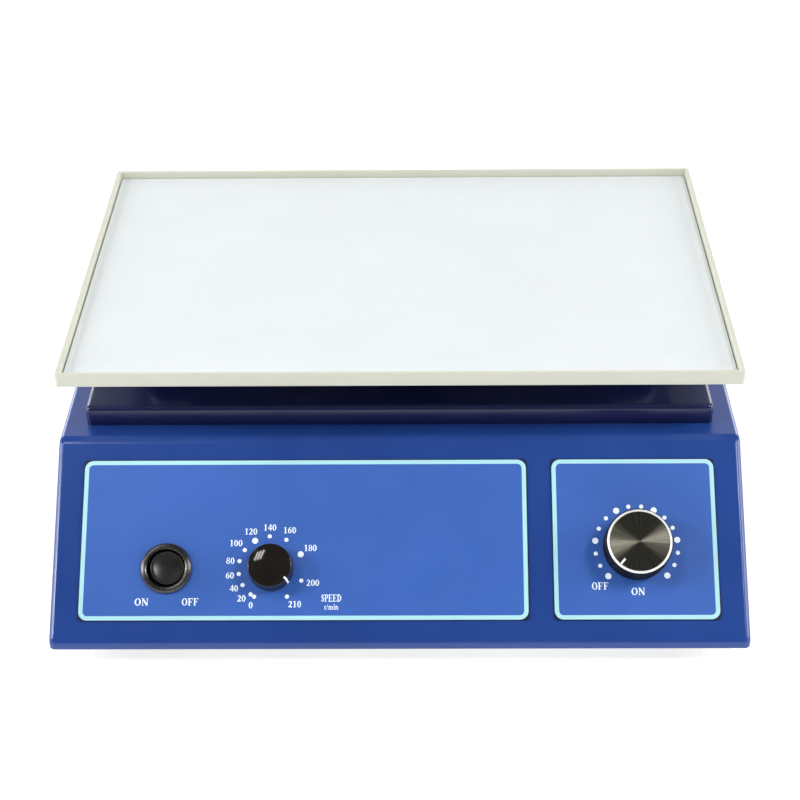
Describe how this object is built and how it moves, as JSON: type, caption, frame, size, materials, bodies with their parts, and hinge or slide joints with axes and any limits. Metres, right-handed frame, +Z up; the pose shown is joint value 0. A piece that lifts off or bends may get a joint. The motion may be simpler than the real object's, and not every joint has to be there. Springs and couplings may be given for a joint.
{
  "type": "orbital shaker",
  "caption": "Bench orbital shaker: a wedge-fronted steel case with speed knob, timer and rocker switch, and a shallow matted tray that moves in small circles on cranks.",
  "frame": {"origin": "middle of the footprint, on the surface that the feet stand on", "axes": "+X to the right across the width, +Y to the back, +Z up; the control panel faces -Y"},
  "size_m": [0.317, 0.286, 0.1158],
  "materials": {
    "case_paint": "semi-gloss blue powder coat with a fine texture",
    "deck_paint": "glossy dark blue paint",
    "tray_paint": "satin cream powder coat",
    "label_film": "printed blue polyester film, satin",
    "mat_rubber": "pale fine-grained non-slip rubber mat",
    "knob_plastic": "black moulded plastic",
    "switch_plastic": "black moulded plastic",
    "inlet_plastic": "black glass-filled plastic",
    "foot_rubber": "black moulded rubber",
    "belt_rubber": "black toothed belt rubber",
    "bearing_steel": "ground and turned steel",
    "core_steel": "varnished laminations and tape",
    "zinc_plate": "zinc-plated sheet steel",
    "motor_paint": "dark grey painted motor can",
    "cast_alloy": "machined aluminium",
    "spun_aluminium": "spun face, black anodised, with a bright cut rim",
    "brass_parts": "plain brass",
    "circuit_board": "green solder mask"
  },
  "bodies": {
    "base": {"housing_cover": "case_paint", "deck_cover": "deck_paint", "base_plate": "zinc_plate", "mounting_plate": "zinc_plate", "speed_label": "label_film", "timer_label": "label_film", "switch_housing": "switch_plastic", "speed_control": "zinc_plate", "speed_control_nut": "brass_parts", "timer_case": "zinc_plate", "timer_nut": "brass_parts", "main_bearing_housing": "cast_alloy", "main_bearing_upper": "bearing_steel", "main_bearing_lower": "bearing_steel", "motor_case": "motor_paint", "motor_bracket": "zinc_plate", "drive_belt": "belt_rubber", "control_board": "circuit_board", "transformer": "core_steel", "power_inlet": "inlet_plastic", "inlet_neutral_pin": "brass_parts", "inlet_live_pin": "brass_parts", "inlet_earth_pin": "brass_parts", "foot_1": "foot_rubber", "foot_screw_1": "bearing_steel", "idler_post_1": "bearing_steel", "foot_2": "foot_rubber", "foot_screw_2": "bearing_steel", "idler_post_2": "bearing_steel", "foot_3": "foot_rubber", "foot_screw_3": "bearing_steel", "idler_post_3": "bearing_steel", "foot_4": "foot_rubber", "foot_screw_4": "bearing_steel", "idler_post_4": "bearing_steel"},
    "drive_crank": {"main_shaft": "bearing_steel", "main_crank": "cast_alloy", "driven_pulley": "cast_alloy"},
    "platform": {"carrier_plate": "zinc_plate", "tray": "tray_paint", "tray_mat": "mat_rubber", "pin_bearing_main": "bearing_steel", "pin_bearing_1": "bearing_steel", "pin_bearing_2": "bearing_steel", "pin_bearing_3": "bearing_steel", "pin_bearing_4": "bearing_steel"},
    "motor_rotor": {"motor_shaft": "bearing_steel", "motor_pulley": "cast_alloy"},
    "speed_dial": {"speed_shaft": "cast_alloy", "speed_knob": "knob_plastic"},
    "timer_dial": {"timer_shaft": "cast_alloy", "timer_knob": "knob_plastic", "timer_knob_face": "spun_aluminium"},
    "power_rocker": {"switch_rocker": "switch_plastic"},
    "fuse_tray": {"fuse_drawer": "inlet_plastic"},
    "idler_1": {"idler_crank_1": "cast_alloy"},
    "idler_2": {"idler_crank_2": "cast_alloy"},
    "idler_3": {"idler_crank_3": "cast_alloy"},
    "idler_4": {"idler_crank_4": "cast_alloy"}
  },
  "joints": [
    {"name": "crank_spin", "type": "hinge", "parent": "base", "child": "drive_crank", "pos_m": [0, 0.035, 0.06], "axis": [0, 0, 1], "continuous": true},
    {"name": "platform_turn", "type": "hinge", "parent": "drive_crank", "child": "platform", "pos_m": [0.00061, 0.02502, 0.1], "axis": [0, 0, 1], "continuous": true},
    {"name": "idler_spin_1", "type": "hinge", "parent": "base", "child": "idler_1", "pos_m": [-0.11, -0.02, 0.06], "axis": [0, 0, 1], "continuous": true},
    {"name": "idler_spin_2", "type": "hinge", "parent": "base", "child": "idler_2", "pos_m": [0.11, -0.02, 0.06], "axis": [0, 0, 1], "continuous": true},
    {"name": "idler_spin_3", "type": "hinge", "parent": "base", "child": "idler_3", "pos_m": [-0.11, 0.09, 0.06], "axis": [0, 0, 1], "continuous": true},
    {"name": "idler_spin_4", "type": "hinge", "parent": "base", "child": "idler_4", "pos_m": [0.11, 0.09, 0.06], "axis": [0, 0, 1], "continuous": true},
    {"name": "motor_spin", "type": "hinge", "parent": "base", "child": "motor_rotor", "pos_m": [-0.088, 0.035, 0.03], "axis": [0, 0, 1], "continuous": true},
    {"name": "speed_turn", "type": "hinge", "parent": "base", "child": "speed_dial", "pos_m": [-0.0582, -0.11753, 0.03594], "axis": [0, -0.6525, 0.7578], "range_deg": [-20, 280]},
    {"name": "timer_turn", "type": "hinge", "parent": "base", "child": "timer_dial", "pos_m": [0.1083, -0.11025, 0.0422], "axis": [0, -0.6525, 0.7578], "range_deg": [-274, 41]},
    {"name": "switch_rock", "type": "hinge", "parent": "base", "child": "power_rocker", "pos_m": [-0.106, -0.11667, 0.03509], "axis": [0, -0.7578, -0.6525], "range_deg": [0, 22]},
    {"name": "fuse_slide", "type": "slide", "parent": "base", "child": "fuse_tray", "axis": [0, 1, 0], "range_m": [0, 0.016]}
  ],
  "couplings": [
    {"joint": "platform_turn", "follows": "crank_spin", "ratio": -1},
    {"joint": "idler_spin_1", "follows": "crank_spin", "ratio": 1},
    {"joint": "idler_spin_2", "follows": "crank_spin", "ratio": 1},
    {"joint": "idler_spin_3", "follows": "crank_spin", "ratio": 1},
    {"joint": "idler_spin_4", "follows": "crank_spin", "ratio": 1},
    {"joint": "motor_spin", "follows": "crank_spin", "ratio": 3.2}
  ]
}
